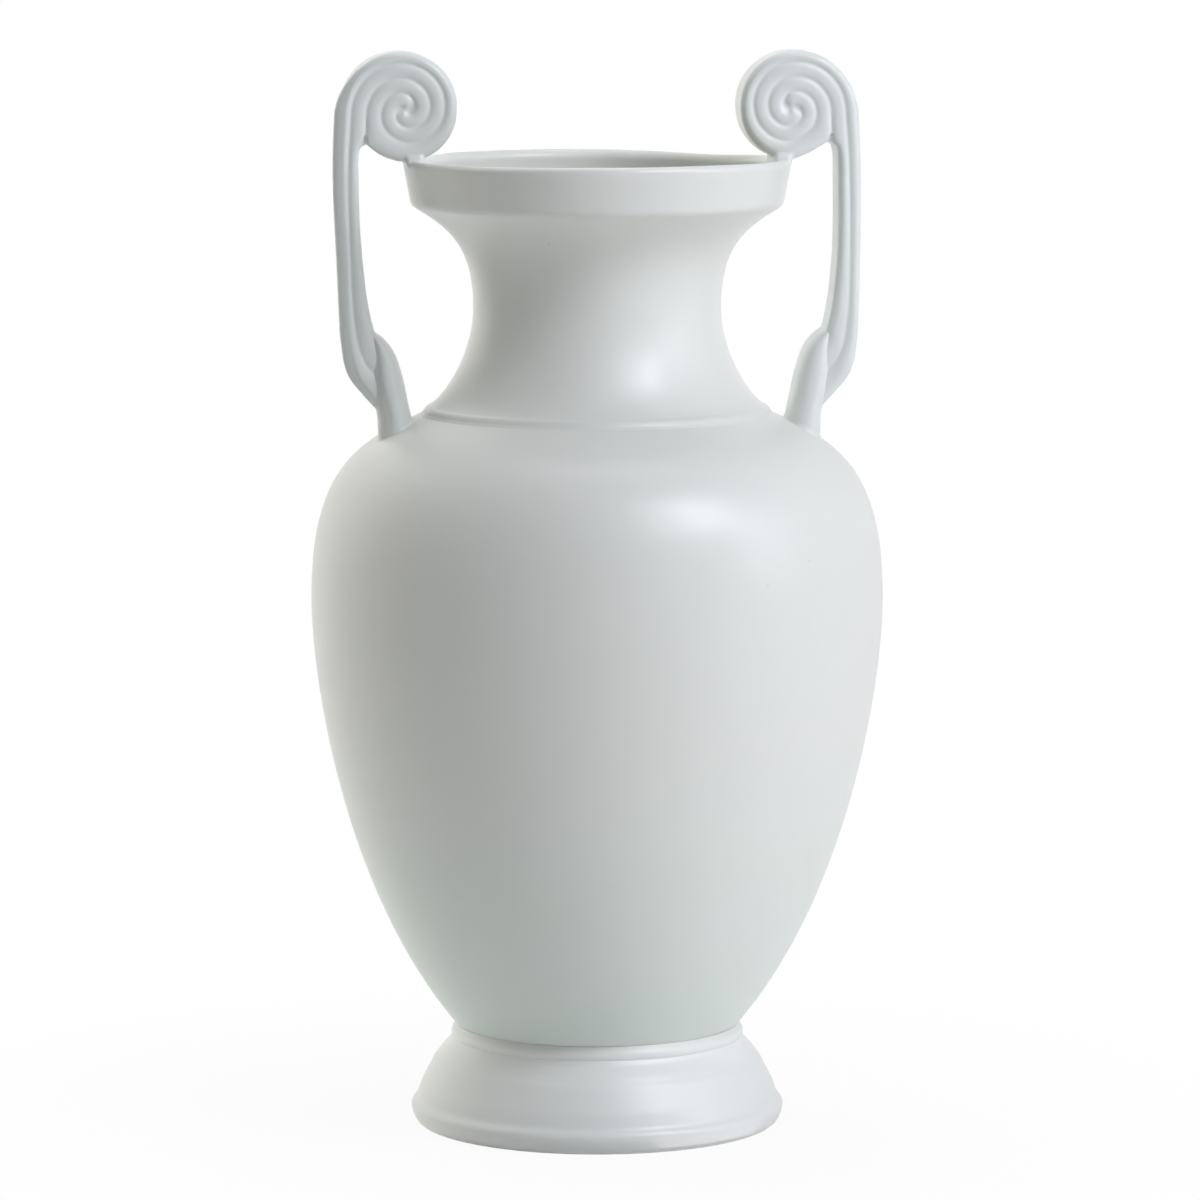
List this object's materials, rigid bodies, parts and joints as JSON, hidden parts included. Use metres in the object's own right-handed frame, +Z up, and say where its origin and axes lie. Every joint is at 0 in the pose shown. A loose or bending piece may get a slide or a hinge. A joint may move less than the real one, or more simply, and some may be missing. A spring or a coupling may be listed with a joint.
{
  "type": "twin-handled vase",
  "caption": "Round-bellied ceramic vase on a flared foot, with a waisted neck, a banded rim and scroll handles rolled into volutes at the lip.",
  "frame": {"origin": "on the vase's axis, in the plane that the foot ring rests on", "axes": "+Z up along the axis of the turned body, +X towards the right handle, -Y towards the viewer's side"},
  "size_m": [0.2162, 0.2162, 0.4067],
  "materials": {
    "glaze_body": "white satin-matte glaze with fine pinholes",
    "glaze_handles": "white satin-matte glaze, a little thinner on the crests of the rolls"
  },
  "bodies": {
    "root": {"foot": "glaze_body", "belly": "glaze_body", "neck": "glaze_body", "rim": "glaze_body", "right_handle_scroll": "glaze_handles", "right_handle_root": "glaze_handles", "left_handle_scroll": "glaze_handles", "left_handle_root": "glaze_handles"}
  },
  "joints": []
}
